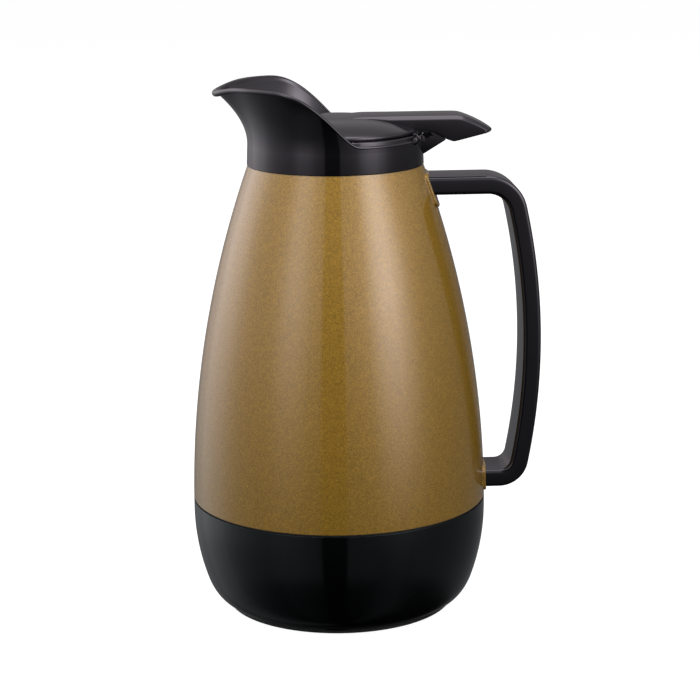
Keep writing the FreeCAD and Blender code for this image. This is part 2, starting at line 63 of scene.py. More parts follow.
def splineAt(knots, values, x):
    # natural cubic spline: the second slopes solve a banded system, each span is a cubic of them
    knots, values = np.asarray(knots, float), np.asarray(values, float)
    gap = np.diff(knots)
    slope = np.diff(values) / gap
    count = len(knots)
    inner = np.arange(1, count - 1)
    system = np.eye(count)
    system[inner, inner - 1] = gap[:-1]
    system[inner, inner] = 2 * (gap[:-1] + gap[1:])
    system[inner, inner + 1] = gap[1:]
    right = np.zeros(count)
    right[inner] = 6 * np.diff(slope)
    second = np.linalg.solve(system, right)
    span = np.clip(np.searchsorted(knots, x) - 1, 0, count - 2)
    a = (knots[span + 1] - x) / gap[span]
    b = (x - knots[span]) / gap[span]
    bend = (a ** 3 - a) * second[span] + (b ** 3 - b) * second[span + 1]
    return a * values[span] + b * values[span + 1] + bend * gap[span] ** 2 / 6


def arcRun(start, middle, end, count):
    # the circle through three points: its centre lies on the bisectors, and the angle runs evenly over it
    a, m, b = (np.asarray(p, float) for p in (start, middle, end))
    sides = np.stack([m - a, b - a]) * 2
    centre = np.linalg.solve(sides, [m @ m - a @ a, b @ b - a @ a])
    turn = [math.atan2(*(p - centre)[::-1]) for p in (a, m, b)]
    turn = np.unwrap(turn)
    angle = np.linspace(turn[0], turn[2], count)
    radius = np.linalg.norm(a - centre)
    return centre + radius * np.stack([np.cos(angle), np.sin(angle)], -1)


def roundedRun(points, reach, steps=5, closed=False):
    # every corner becomes a quadratic curve that starts and ends one reach away along its two sides,
    # and takes less than half of either side
    points = np.asarray(points, float)
    before = np.roll(points, 1, -2) - points
    after = np.roll(points, -1, -2) - points
    sizes = [np.maximum(np.linalg.norm(side, axis=-1, keepdims=True), 1e-9) for side in (before, after)]
    reach = np.broadcast_to(np.asarray(reach, float), points.shape[:-1])[..., None]
    reach = np.minimum(reach, 0.48 * np.minimum(*sizes))
    start, end = points + before / sizes[0] * reach, points + after / sizes[1] * reach
    start, corner, end = (run[..., None, :] for run in (start, points, end))
    t = np.linspace(0, 1, steps)[:, None]
    curve = (1 - t) ** 2 * start + 2 * t * (1 - t) * corner + t * t * end
    if not closed:
        curve[..., 0, :, :] = points[..., :1, :]
        curve[..., -1, :, :] = points[..., -1:, :]
    return curve.reshape(points.shape[:-2] + (-1, 2))


def boxRun(left, right, low, high):
    # the four corners of a rectangle, once round
    return np.array([(left, low), (right, low), (right, high), (left, high)])


def runLength(points):
    # length along a run of points, from its first one up to each
    return np.concatenate([[0], np.cumsum(np.linalg.norm(np.diff(points, axis=0), axis=1))])


def evenRun(points, step):
    # the run's own points and one more at every step of its length, by straight interpolation
    points = np.asarray(points, float)
    length = runLength(points)
    marks = np.unique(np.concatenate([length, np.arange(0, length[-1], step)]))
    return np.stack([np.interp(marks, length, points[:, i]) for i in range(2)], -1)


def turnedGrid(profile, around):
    # each point of the profile (radius, height) goes once round the axis
    angle = np.linspace(0, 2 * np.pi, around, endpoint=False)[:, None]
    radius, height = profile[None, :, 0], profile[None, :, 1]
    return np.stack([radius * np.cos(angle), radius * np.sin(angle), height + 0 * angle], -1)


def newObject(name, grid, wrapU=True, wrapV=True, caps=False):
    # each cell of the grid is one face, and each end of a tube one more;
    # points that fall together at seams and poles are merged
    index = np.arange(grid.shape[0] * grid.shape[1]).reshape(grid.shape[:2])
    index = np.concatenate([index, index[:1]], 0) if wrapU else index
    index = np.concatenate([index, index[:, :1]], 1) if wrapV else index
    cells = np.stack([index[:-1, :-1], index[1:, :-1], index[1:, 1:], index[:-1, 1:]], -1)
    faces = cells.reshape(-1, 4).tolist()
    faces += [index[0, :-1].tolist(), index[-1, -2::-1].tolist()] if caps else []
    mesh = bpy.data.meshes.new(name)
    mesh.from_pydata((grid.reshape(-1, 3) * mm).tolist(), [], faces)
    work = bmesh.new()
    work.from_mesh(mesh)
    bmesh.ops.remove_doubles(work, verts=work.verts, dist=2e-7)
    if work.calc_volume(signed=True) < 0:
        bmesh.ops.reverse_faces(work, faces=work.faces)
    work.to_mesh(mesh)
    work.free()
    made = bpy.data.objects.new(name, mesh)
    bpy.context.scene.collection.objects.link(made)
    return made


def newTube(name, grid):  # rings one after another, with a face over each end
    return newObject(name, grid, wrapU=False, caps=True)


def joinSolid(piece, tool, operation):
    # union or cut with another closed shape, which is used up
    step = piece.modifiers.new("join", "BOOLEAN")
    step.object, step.operation, step.solver = tool, operation, "EXACT"
    graph = bpy.context.evaluated_depsgraph_get()
    mesh = bpy.data.meshes.new_from_object(piece.evaluated_get(graph))
    piece.modifiers.clear()
    old, used = piece.data, tool.data
    piece.data = mesh
    bpy.data.meshes.remove(old)
    bpy.data.objects.remove(tool)
    bpy.data.meshes.remove(used)


def finishPiece(piece, body, node, material, crease=32):
    # one finish, smooth shading that breaks at sharp edges, the piece's body, and the CAD node that it
    # replaces is hidden
    piece.data.name = piece.name
    piece.data.materials.clear()
    piece.data.materials.append(material)
    piece.data.shade_smooth()
    piece.data.set_sharp_from_angle(angle=math.radians(crease))
    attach(piece, body)
    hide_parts(node)
    print("piece:", piece.name, len(piece.data.polygons), "faces")


# materials

noiseSpan = (0.3, 0.7)  # nearly all values of a noise texture lie between these


def startMaterial(name):  # with its shader and the piece's own coordinates
    material = bpy.data.materials.new(name)
    material.use_nodes = True
    tree = material.node_tree
    shader = next(n for n in tree.nodes if n.type == "BSDF_PRINCIPLED")
    place = tree.nodes.new("ShaderNodeTexCoord")
    return material, tree, shader, place.outputs["Object"]


def addNode(tree, kind, inputs=None, **settings):  # an input is a plain value or another node's socket
    node = tree.nodes.new(kind)
    for key, value in settings.items():
        setattr(node, key, value)
    for key, value in (inputs or {}).items():
        if isinstance(value, bpy.types.NodeSocket):
            tree.links.new(value, node.inputs[key])
        else:
            node.inputs[key].default_value = value
    return node


def spread(tree, value, low, high, fromLow=0.0, fromHigh=1.0):
    # moves a value from one span to another, in proportion
    spans = {"From Min": fromLow, "From Max": fromHigh, "To Min": low, "To Max": high}
    return addNode(tree, "ShaderNodeMapRange", {"Value": value, **spans}).outputs["Result"]


def maths(tree, operation, a, b):  # one step of arithmetic
    return addNode(tree, "ShaderNodeMath", {0: a, 1: b}, operation=operation).outputs[0]


def product(tree, a, b):
    return maths(tree, "MULTIPLY", a, b)


def vectors(tree, operation, inputs):  # the same on vectors
    return addNode(tree, "ShaderNodeVectorMath", inputs, operation=operation).outputs[0]


def noise(tree, place, scale, detail):  # soft noise over the piece
    return addNode(tree, "ShaderNodeTexNoise", {"Vector": place, "Scale": scale, "Detail": detail}).outputs[0]


def paint(tree, shader, colour, shade):
    # base colour: the plain colour times a shade that varies over the piece
    mixed = addNode(tree, "ShaderNodeMix", {0: 1.0, 6: (*colour, 1), 7: shade}, data_type="RGBA",
                    blend_type="MULTIPLY")
    tree.links.new(mixed.outputs[2], shader.inputs["Base Color"])


def makeFlakePaint():
    # gold base coat full of small mirror flakes, each cell with its own shade and tilt, under a clear coat
    look = {"gold": (0.234, 0.130, 0.0150), "flakeSize": 0.0004, "fineSize": 0.0002, "cloud": 22.0,
            "shade": (0.74, 1.26), "fineShade": (0.8, 1.2), "cloudShade": (0.95, 1.05),
            "paintedGlintLift": 0.8, "paintedGlintFrom": (0.965, 0.99), "rough": (0.36, 0.46), "tilt": 0.10,
            "metal": 0.15, "specular": 0.2, "coatRough": 0.015, "coatIor": 1.5}
    material, tree, shader, place = startMaterial("flakePaint")
    cells = addNode(tree, "ShaderNodeTexVoronoi", {"Vector": place, "Scale": 1 / look["flakeSize"]})
    fine = addNode(tree, "ShaderNodeTexVoronoi", {"Vector": place, "Scale": 1 / look["fineSize"]})
    cloud = noise(tree, place, look["cloud"], 3.0)
    parts = addNode(tree, "ShaderNodeSeparateColor", {"Color": cells.outputs["Color"]})
    fineParts = addNode(tree, "ShaderNodeSeparateColor", {"Color": fine.outputs["Color"]})
    shade = spread(tree, parts.outputs[0], *look["shade"])
    shade = product(tree, shade, spread(tree, fineParts.outputs[0], *look["fineShade"]))
    shade = product(tree, shade, spread(tree, cloud, *look["cloudShade"]))
    # painted glints: the few fine cells at the top of the span get a much lighter base colour, standing in
    # for flakes that catch the light
    paintedGlint = spread(tree, fineParts.outputs[1], 0.0, look["paintedGlintLift"], *look["paintedGlintFrom"])
    paint(tree, shader, look["gold"], maths(tree, "ADD", shade, paintedGlint))
    tree.links.new(spread(tree, parts.outputs[1], *look["rough"]), shader.inputs["Roughness"])
    lean = vectors(tree, "SUBTRACT", {0: fine.outputs["Color"], 1: (0.5, 0.5, 0.5)})
    lean = vectors(tree, "SCALE", {0: lean, "Scale": look["tilt"]})
    upright = addNode(tree, "ShaderNodeNewGeometry").outputs["Normal"]
    tilted = vectors(tree, "NORMALIZE", {0: vectors(tree, "ADD", {0: upright, 1: lean})})
    tree.links.new(tilted, shader.inputs["Normal"])
    shader.inputs["Metallic"].default_value = look["metal"]
    shader.inputs["Specular IOR Level"].default_value = look["specular"]
    shader.inputs["Coat Weight"].default_value = 1.0
    shader.inputs["Coat Roughness"].default_value = look["coatRough"]
    shader.inputs["Coat IOR"].default_value = look["coatIor"]
    return material


def makeMoulding(name, look):
    # polished moulding: colour and gloss drift softly, with a faint flow ripple and fine dust-like scuffs
    grain = {"drift": 45.0, "shade": (0.8, 1.2), "scuff": 900.0, "scuffRough": 0.02, "scuffFrom": (0.5, 0.8),
             "depth": 0.0004}
    material, tree, shader, place = startMaterial(name)
    drift = noise(tree, place, grain["drift"], 4.0)
    scuff = noise(tree, place, grain["scuff"], 3.0)
    ripple = noise(tree, place, look["ripple"], 2.0)
    paint(tree, shader, look["colour"], spread(tree, drift, *grain["shade"], *noiseSpan))
    gloss = spread(tree, drift, *look["rough"], *noiseSpan)
    gloss = maths(tree, "ADD", gloss, spread(tree, scuff, 0.0, grain["scuffRough"], *grain["scuffFrom"]))
    tree.links.new(gloss, shader.inputs["Roughness"])
    bump = addNode(tree, "ShaderNodeBump", {"Height": ripple, "Strength": look["bump"],
                                            "Distance": grain["depth"]})
    tree.links.new(bump.outputs[0], shader.inputs["Normal"])
    shader.inputs["IOR"].default_value = look["ior"]
    shader.inputs["Specular Tint"].default_value = (*look.get("tint", (1, 1, 1)), 1)
    return material


def makeSilvered(name, look):
    # mirror layer under clear glass: the silver is a little uneven, the glass over it is a clear coat
    film = {"cloud": 60.0, "shade": (0.9, 1.05), "coatRough": 0.02}
    material, tree, shader, place = startMaterial(name)
    cloud = noise(tree, place, film["cloud"], 4.0)
    paint(tree, shader, look["colour"], spread(tree, cloud, *film["shade"], *noiseSpan))
    tree.links.new(spread(tree, cloud, *look["rough"], *noiseSpan), shader.inputs["Roughness"])
    shader.inputs["Metallic"].default_value = 1.0
    shader.inputs["Coat Weight"].default_value = 1.0
    shader.inputs["Coat Roughness"].default_value = film["coatRough"]
    return material


def makeSteel(name, grey):
    # drawn steel: fine lines across Y, from noise that is stretched along it
    draw = {"stretch": 0.04, "lines": 2500.0, "shade": (0.75, 1.1), "rough": (0.22, 0.4)}
    material, tree, shader, place = startMaterial(name)
    stretch = addNode(tree, "ShaderNodeMapping", {"Vector": place, "Scale": (1.0, draw["stretch"], 1.0)})
    lines = noise(tree, stretch.outputs[0], draw["lines"], 2.0)
    paint(tree, shader, (grey, grey, grey), spread(tree, lines, *draw["shade"], *noiseSpan))
    tree.links.new(spread(tree, lines, *draw["rough"], *noiseSpan), shader.inputs["Roughness"])
    shader.inputs["Metallic"].default_value = 1.0
    return material


flakePaint = makeFlakePaint()
blackGloss = makeMoulding("blackGloss", {"colour": (0.0024, 0.0022, 0.0029), "tint": (0.97, 0.93, 1.0),
                                         "rough": (0.02, 0.045), "ripple": 130.0, "bump": 0.015, "ior": 1.53})
blackBase = makeMoulding("blackBase", {"colour": (0.0012, 0.0014, 0.0015), "tint": (0.86, 1.0, 1.0),
                                       "rough": (0.02, 0.035), "ripple": 130.0, "bump": 0.01, "ior": 1.5})
blackSatin = makeMoulding("blackSatin", {"colour": (0.014, 0.014, 0.015), "rough": (0.32, 0.42),
                                         "ripple": 600.0, "bump": 0.10, "ior": 1.48})
softBlack = makeMoulding("softBlack", {"colour": (0.012, 0.012, 0.012), "rough": (0.6, 0.75),
                                       "ripple": 900.0, "bump": 0.25, "ior": 1.45})
softGrey = makeMoulding("softGrey", {"colour": (0.52, 0.52, 0.50), "rough": (0.5, 0.62),
                                     "ripple": 700.0, "bump": 0.15, "ior": 1.42})
silverInside = makeSilvered("silverInside", {"colour": (0.82, 0.83, 0.84), "rough": (0.05, 0.09)})
silverOutside = makeSilvered("silverOutside", {"colour": (0.78, 0.79, 0.80), "rough": (0.07, 0.12)})
drawnSteel = makeSteel("drawnSteel", 0.62)
darkSteel = makeSteel("darkSteel", 0.09)
print("materials made:", len(bpy.data.materials))


# body: gold shell with the two pads of the handle

body = {"bellyRadius": 65.0, "bellyHeight": 44.0, "neckRadius": 38.0, "neckHeight": 197.2, "seamHeight": 48.8,
        "sealHeight": 0.8, "shellWall": 2.0, "around": 256}


def sideRadius(z, inset=0.0):
    # the side is one long arc that stands upright at the belly and leans in to the neck
    inward, upward = body["bellyRadius"] - body["neckRadius"], body["neckHeight"] - body["bellyHeight"]
    arc = (inward ** 2 + upward ** 2) / (2 * inward)
    return body["bellyRadius"] - arc + np.sqrt((arc - inset) ** 2 - (z - body["bellyHeight"]) ** 2)


shellBottom = body["seamHeight"] + body["sealHeight"] / 2
baseTop = body["seamHeight"] - body["sealHeight"] / 2

shellLook = {"edge": 0.25, "spigotRadius": 62.3, "spigotWall": 2.0, "spigotBottom": 35.0, "rows": 150}


def shellProfile():
    # outside arc, top edge, inside arc, then the spigot that the base cup takes
    edge, wall = shellLook["edge"], body["shellWall"]
    up = np.linspace(shellBottom + edge, body["neckHeight"] - edge / 2, shellLook["rows"])
    down = np.linspace(body["neckHeight"], shellBottom + wall, 60)
    inner = shellLook["spigotRadius"] - shellLook["spigotWall"]
    low = [(inner, shellBottom), (inner, shellLook["spigotBottom"]),
           (shellLook["spigotRadius"], shellLook["spigotBottom"]), (shellLook["spigotRadius"], shellBottom)]
    lip = roundedRun([(shellLook["spigotRadius"], shellBottom), (sideRadius(shellBottom), shellBottom),
                      (sideRadius(shellBottom + 2 * edge), shellBottom + 2 * edge)], edge)[5:10]
    outside = np.stack([sideRadius(up), up], -1)
    inside = np.stack([sideRadius(down, wall), down], -1)
    top = [(sideRadius(body["neckHeight"]) - edge / 2, body["neckHeight"])]
    return np.concatenate([outside, top, inside, low, lip])


padLook = {"proud": 1.0, "edge": 0.4, "width": 24.6, "corner": 3.0, "sunk": 1.3, "step": 0.7,
           "facePower": 0.9, "heights": {"upper": (178.7, 193.2), "lower": (50.7, 61.5)}}


def padGrid(low, high):
    # rounded rectangle that shrinks ring by ring: up the side wall, over a rounded edge, across the face
    half, tall, corner = padLook["width"] / 2, (high - low) / 2, padLook["corner"]
    corners = np.array([(half, tall), (-half, tall), (-half, -tall), (half, -tall)])
    line = roundedRun(corners, corner, 12, closed=True)
    line = evenRun(np.concatenate([line, line[:1]]), padLook["step"])[:-1]
    edge, proud = padLook["edge"], padLook["proud"]
    bend = np.linspace(0, np.pi / 2, 5)
    depth = np.concatenate([[-padLook["sunk"]] * 3, proud - edge + edge * np.sin(bend), [proud] * 7])
    inset = np.concatenate([[edge, edge, 0], edge * (1 - np.cos(bend)), [edge] * 7])
    face = 1 - smoothStep(np.linspace(0, 1, 8)[1:]) ** padLook["facePower"]
    share = np.concatenate([[0, 0.5, 1], np.ones(5), face])
    size = np.linalg.norm(line, axis=1)
    shrink = share[:, None] * (1 - inset[:, None] / size[None])
    y = shrink * line[None, :, 0]
    z = shrink * line[None, :, 1] + (low + high) / 2
    x = np.sqrt(sideRadius(z, -depth[:, None]) ** 2 - y ** 2)
    return np.stack([x, y, z], -1)


goldShell = newObject("gold_shell", turnedGrid(shellProfile(), body["around"]))
for low, high in padLook["heights"].values():
    joinSolid(goldShell, newObject("pad", padGrid(low, high), wrapU=False), "UNION")
finishPiece(goldShell, "carafe", "outer_shell", flakePaint)


# black base cup, foot ring and the seal in the seam

baseLook = {"toe": (59.8, 12.98), "knee": (57.6, 6.512), "sole": (51.4, 1.9), "lip": 0.6, "lipEdge": 0.1,
            "lean": (19.0, 75.0), "pull": (6.2, 3.2), "wall": 2.4, "floor": 5.5, "footSeat": 3.1,
            "seatEdge": 0.2, "socketRadius": 62.6, "socketBottom": 34.0, "socketStep": 2.0, "edge": 0.15}
footLook = {"inner": 45.2, "outer": 50.4, "edges": (0.8, 0.8, 0.1, 0.1)}
sealLook = {"inset": 0.6, "edge": 0.2}


def baseProfile():
    # sole with its low lip, a corner drawn as a cubic curve that leaves the side at its own lean,
    # a bowed side up to the belly, then the long arc to the seam
    k = baseLook
    toe, knee, sole = np.array(k["toe"]), np.array(k["knee"]), np.array(k["sole"])
    wall, socket = k["wall"], k["socketRadius"]
    belly = np.array([body["bellyRadius"], body["bellyHeight"]])
    inward, upward = belly - toe
    bow = (inward ** 2 + upward ** 2) / (2 * inward)
    rise = np.linspace(toe[1], belly[1], 48)
    side = np.stack([belly[0] - bow + np.sqrt(bow ** 2 - (belly[1] - rise) ** 2), rise], -1)
    upper = np.linspace(belly[1], baseTop - k["edge"], 6)
    upper = np.stack([sideRadius(upper), upper], -1)
    rim = roundedRun([upper[-1], (sideRadius(baseTop), baseTop), (socket, baseTop)], k["edge"])
    heelTop = (toe[0] - wall, toe[1] + wall / 2)
    inside = [(socket, k["socketBottom"]), (socket - k["socketStep"], k["socketBottom"]), heelTop]
    heel = arcRun(heelTop, (knee[0] - wall, knee[1] + wall), (sole[0] - wall, k["floor"]), 12)
    inner, outer, seat = footLook["inner"], footLook["outer"], k["footSeat"]
    under = roundedRun([(0, sole[1]), (inner, sole[1]), (inner, seat), (outer, seat), (outer, sole[1]), sole],
                       k["seatEdge"], 3)[:-3]
    start = sole + [0, k["lip"]]
    sideWay, soleWay = (np.array([np.sin(lean), np.cos(lean)]) for lean in np.radians(k["lean"]))
    sidePull, solePull = k["pull"]
    t = np.linspace(0, 1, 30)[:, None]
    corner = cubicRun(start, start + solePull * soleWay, toe - sidePull * sideWay, toe, t)
    corner = np.concatenate([[sole, start - [0, k["lipEdge"]]], corner])
    return np.concatenate([under, corner, side[1:], upper[1:], rim[1:], inside, heel[1:], [(0, k["floor"])]])


baseCup = newObject("black_base_cup", turnedGrid(baseProfile(), body["around"]), wrapV=False)
finishPiece(baseCup, "carafe", "base_cup", blackBase)

footProfile = boxRun(footLook["inner"], footLook["outer"], 0, baseLook["footSeat"])
footProfile = roundedRun(footProfile, footLook["edges"], 6, closed=True)
footRing = newObject("soft_foot_ring", turnedGrid(footProfile, 160))
finishPiece(footRing, "carafe", "foot_ring", softBlack)

sealOuter = sideRadius(body["seamHeight"]) - sealLook["inset"]
sealProfile = boxRun(baseLook["socketRadius"], sealOuter, baseTop, shellBottom)
sealProfile = roundedRun(sealProfile, sealLook["edge"], 4, closed=True)
seamSeal = newObject("seam_seal", turnedGrid(sealProfile, 200))
finishPiece(seamSeal, "carafe", "base_seal_ring", softBlack)


# pour collar: ring on the neck, shoulder and seat for the lid, wall that flares into the spout

collarLook = {"skirtInner": 33.7, "skirtOuter": 35.7, "skirtBottom": 192.8, "footProud": 0.35,
              "footEdge": 0.28, "wallTop": 206.0, "shoulder": 207.0, "seat": 210.6, "seatOuter": 35.2,
              "seatInner": 33.8, "seatEdge": 0.25, "ledge": (36.72, 208.75), "ledgeTop": 36.5,
              "ledgeEdge": 0.95, "floor": 207.5, "funnel": 1.6, "throat": 25.5, "throatEdge": 0.6,
              "under": 204.6}
spoutLook = {"rise": 25.4, "ledge": 1.85, "ledgeSoft": 1.44, "reach": 14.2, "wall": 2.0, "flare": 1.9,
             "drop": 0.9, "grip": 0.4, "backFrom": 95.0, "backSpan": 9.0, "fineUpTo": 40.0,
             "angle": (0, 16, 32, 48, 62, 74, 86, 96, 104, 112),
             "riseShare": (0.900, 0.970, 1.000, 0.995, 0.935, 0.735, 0.430, 0.165, 0.025, -0.055),
             "reachShare": (1.000, 0.690, 0.530, 0.450, 0.406, 0.236, 0.068, 0.000, 0.000, 0.000),
             "bead": (1.45, 1.22, 1.02, 0.92, 0.86, 0.82, 0.80, 0.78, 0.76, 0.76),
             "proud": (0.45, 0.42, 0.40, 0.38, 0.36, 0.34, 0.30, 0.22, 0.12, 0.06)}


def spoutValue(key, turn):
    # the stations run both ways from the tip, so the spline through them is level there
    angle = np.array(spoutLook["angle"], float)
    value = np.array(spoutLook[key], float)
    angle = np.concatenate([-angle[:0:-1], angle])
    value = np.concatenate([value[:0:-1], value])
    return splineAt(angle, value, np.clip(turn, angle[0], angle[-1]))


def crestRuns(turn):
    # from the wall to the lid's seat: up the flared outside, round a bead on the rim, down the inside.
    # Behind the spout the bead runs on as the lower edge of the shoulder, and the inside rises to the seat.
    c, s = collarLook, spoutLook
    rise = softMax(spoutValue("riseShare", turn) * s["rise"], s["ledge"], s["ledgeSoft"])[:, None]
    reach = np.maximum(spoutValue("reachShare", turn), 0)[:, None] * s["reach"]
    bead, proud = spoutValue("bead", turn)[:, None], spoutValue("proud", turn)[:, None]
    rim = c["shoulder"] + rise

    def outside(z):  # the flare goes out with a power of the height over the shoulder
        return body["neckRadius"] + reach * np.clip((z - c["shoulder"]) / rise, 0, 2) ** s["flare"]

    middle = np.concatenate([outside(rim) + proud - bead, rim - bead], 1)
    slope = reach * s["flare"] / rise * np.clip(1 - bead / rise, 0, 1) ** (s["flare"] - 1)
    long = np.sqrt(1 + slope ** 2)
    along = np.concatenate([slope, 1 + 0 * slope], 1) / long
    out = np.concatenate([1 + 0 * slope, -slope], 1) / long
    most = 0.98 * bead  # the crease stays on the bead
    apart = np.clip((middle[:, :1] - outside(rim - bead)) / long, -most, most)
    crease = middle - out * apart - along * np.sqrt(bead ** 2 - apart ** 2)
    climb = np.linspace(0, 1, 30)[None, :]
    wallZ = c["wallTop"] + (crease[:, 1:] - c["wallTop"]) * climb
    wallR = outside(wallZ)
    wallR = wallR + (crease[:, :1] - wallR[:, -1:]) * climb ** 8  # meets the crease near its top alone
    start = np.arctan2(crease[:, 1:] - middle[:, 1:], crease[:, :1] - middle[:, :1])
    swing = start + (np.pi / 2 - start) * np.linspace(0, 1, 18)[None, 1:]
    ring = np.stack([middle[:, :1] + bead * np.cos(swing), middle[:, 1:] + bead * np.sin(swing)], -1)
    back = smoothStep((np.abs(turn) - s["backFrom"]) / s["backSpan"])[:, None]
    high = rim - s["drop"]
    fallEnd = np.concatenate([outside(high) - s["wall"], high], 1) * (1 - back) + np.array(c["ledge"]) * back
    lean = along * (1 - back) + np.array([0.0, -1.0]) * back
    top = np.concatenate([middle[:, :1], rim], 1)
    grip = np.linalg.norm(top - fallEnd, axis=1)[:, None] * s["grip"]
    fallPoints = (top, top - np.array([1.0, 0.0]) * grip, fallEnd + lean * grip, fallEnd)
    fall = cubicRun(*(point[:, None] for point in fallPoints), np.linspace(0, 1, 9)[None, 1:, None])
    down = np.linspace(0, 1, 27)[None, 1:]
    innerZ = fallEnd[:, 1:] + (c["seat"] - fallEnd[:, 1:]) * down
    innerR = outside(innerZ) - s["wall"]
    innerR = innerR + (fallEnd[:, :1] - innerR[:, :1]) * (1 - down) ** 4  # eases in from the rim
    ledge = [c["ledge"], (c["ledgeTop"], c["seat"]), (c["seatOuter"], c["seat"])]
    ledge = roundedRun(ledge, c["ledgeEdge"], 12)
    ledge = np.concatenate([ledge[:1], ledge[12:24], ledge[-1:]])
    length = runLength(ledge)
    ledge = np.stack([np.interp(down[0] * length[-1], length, ledge[:, i]) for i in range(2)], -1)
    inner = np.stack([innerR, innerZ], -1) * (1 - back[..., None]) + ledge[None] * back[..., None]
    return np.concatenate([np.stack([wallR, wallZ], -1), ring, fall, inner], 1)


def collarGrid():
    # sections of radius and height, turned round the axis from the spout's tip: skirt and foot, the crest,
    # which alone changes with the turn, then seat, funnel and throat. Stations are closest at the spout.
    c, fine, wide = collarLook, spoutLook["fineUpTo"], spoutLook["angle"][-1]
    near = [np.linspace(0, fine, 60), np.linspace(fine, wide, 84)[1:], np.linspace(wide, 180, 50)[1:]]
    near = np.concatenate(near)
    turn = np.concatenate([-near[-2:0:-1], near])
    skirt, neck, bottom = c["skirtOuter"], body["neckRadius"], body["neckHeight"]
    before = roundedRun([(c["skirtInner"], c["skirtBottom"]), (skirt, c["skirtBottom"]), (skirt, bottom),
                         (neck + c["footProud"], bottom), (neck, c["wallTop"])], c["footEdge"], 5)
    throat, edge = c["throat"], c["throatEdge"]
    after = roundedRun([(c["seatOuter"], c["seat"]), (c["seatInner"], c["seat"]),
                        (c["seatInner"], c["floor"] + c["funnel"]), (throat + edge, c["floor"]),
                        (throat, c["floor"] - edge), (throat, c["under"]), (c["skirtInner"], c["under"])],
                       c["seatEdge"], 4)
    crest = crestRuns(turn)
    rows = [np.broadcast_to(part[None], (len(turn),) + part.shape) for part in (before[:-1], after[1:])]
    section = np.concatenate([rows[0], crest, rows[1]], 1)
    angle = np.radians(180 + turn)[:, None]
    return np.stack([section[..., 0] * np.cos(angle), section[..., 0] * np.sin(angle), section[..., 1]], -1)


hingeLook = {"x": 33.0, "z": 208.3, "pin": 1.4, "pinLength": 31.6, "pinPlay": 0.02, "barrel": 2.8,
             "barrelLength": 23.4, "barrelEdge": 0.5, "play": 0.4, "room": 2.0,
             "gusset": ((-1.2, -7.0), (-1.2, 0.0), (0.6, 1.6), (1.7, 3.8), (9.5, 0.3), (9.5, -1.2),
                        (0.0, -7.0)), "gussetWidth": 11.0, "gussetEdge": 0.35,
             "ear": ((-1.6, -1.3), (-0.1, -1.3), (-0.1, 1.0), (-0.7, 1.4), (-1.6, 1.8)),
             "earPlaces": (-9.3, 9.3), "earWidth": 1.3, "earEdge": 0.15}


def slabGrid(outline, width, edge=0.0, place=0.0):
    # an outline in X and Z carried along Y, with its two rims drawn in a little so that they read as rounded
    outline = np.asarray(outline, float)
    middle = outline.mean(0)
    bend = np.linspace(0, np.pi / 2, 4)
    inset = np.concatenate([edge * (1 - np.sin(bend)), edge * (1 - np.sin(bend[::-1]))])
    half = width / 2
    y = np.concatenate([-half + edge * (1 - np.cos(bend)), half - edge * (1 - np.cos(bend[::-1]))]) + place
    size = np.linalg.norm(outline - middle, axis=1)
    scale = 1 - inset[:, None] / size[None]
    points = middle + scale[..., None] * (outline - middle)[None]
    return np.stack([points[..., 0], np.broadcast_to(y[:, None], scale.shape), points[..., 1]], -1)


def rodGrid(radius, length, edge=0.3, around=64):
    # a rod along Y in the hinge's axis, with rounded ends
    x, z = hingeLook["x"], hingeLook["z"]
    bend = np.linspace(0, np.pi / 2, 5)
    r = np.concatenate([radius - edge + edge * np.sin(bend), radius - edge + edge * np.cos(bend)])
    y = np.concatenate([-length / 2 + edge * (1 - np.cos(bend)), length / 2 - edge * (1 - np.sin(bend))])
    angle = np.linspace(0, 2 * np.pi, around, endpoint=False)
    return np.stack([x + r[:, None] * np.cos(angle), np.broadcast_to(y[:, None], (len(y), around)),
                     z + r[:, None] * np.sin(angle)], -1)


def notchOutline():
    # half a circle under the barrel with its play, open upwards and to the back
    h = hingeLook
    radius = h["barrel"] + h["play"]
    low = arcRun((h["x"] - radius, h["z"]), (h["x"], h["z"] - radius), (h["x"] + radius, h["z"]), 24)
    behind, above = body["neckRadius"] + h["room"], collarLook["seat"] + h["room"]
    return np.concatenate([low, [(behind, h["z"]), (behind, above), (h["x"] - radius, above)]])


def outlineFrom(x, points, edge, steps):
    # an outline whose points are given from one X at the pin's height, with eased corners
    return roundedRun(np.array(points) + np.array([x, hingeLook["z"]]), edge, steps, closed=True)


h = hingeLook
pourCollar = newObject("pour_collar_spout", collarGrid())
notch = slabGrid(notchOutline(), h["barrelLength"] + 2 * h["play"])
joinSolid(pourCollar, newTube("notch", notch), "DIFFERENCE")
gusset = outlineFrom(body["neckRadius"], h["gusset"], h["gussetEdge"], 5)
joinSolid(pourCollar, newTube("gusset", slabGrid(gusset, h["gussetWidth"], h["gussetEdge"])), "UNION")
bore = rodGrid(h["pin"] + h["pinPlay"], 2 * body["neckRadius"])
joinSolid(pourCollar, newTube("bore", bore), "DIFFERENCE")
ear = outlineFrom(body["neckRadius"], h["ear"], h["earEdge"], 3)
for place in h["earPlaces"]:
    joinSolid(pourCollar, newTube("ear", slabGrid(ear, h["earWidth"], h["earEdge"], place)), "UNION")
finishPiece(pourCollar, "carafe", "pour_collar", blackGloss)

hingePin = newTube("hinge_pin_rod", rodGrid(h["pin"], h["pinLength"], around=48))
finishPiece(hingePin, "carafe", "hinge_pin", darkSteel)


# lid: dome, thumb lever with bevelled top, knuckle on the pin

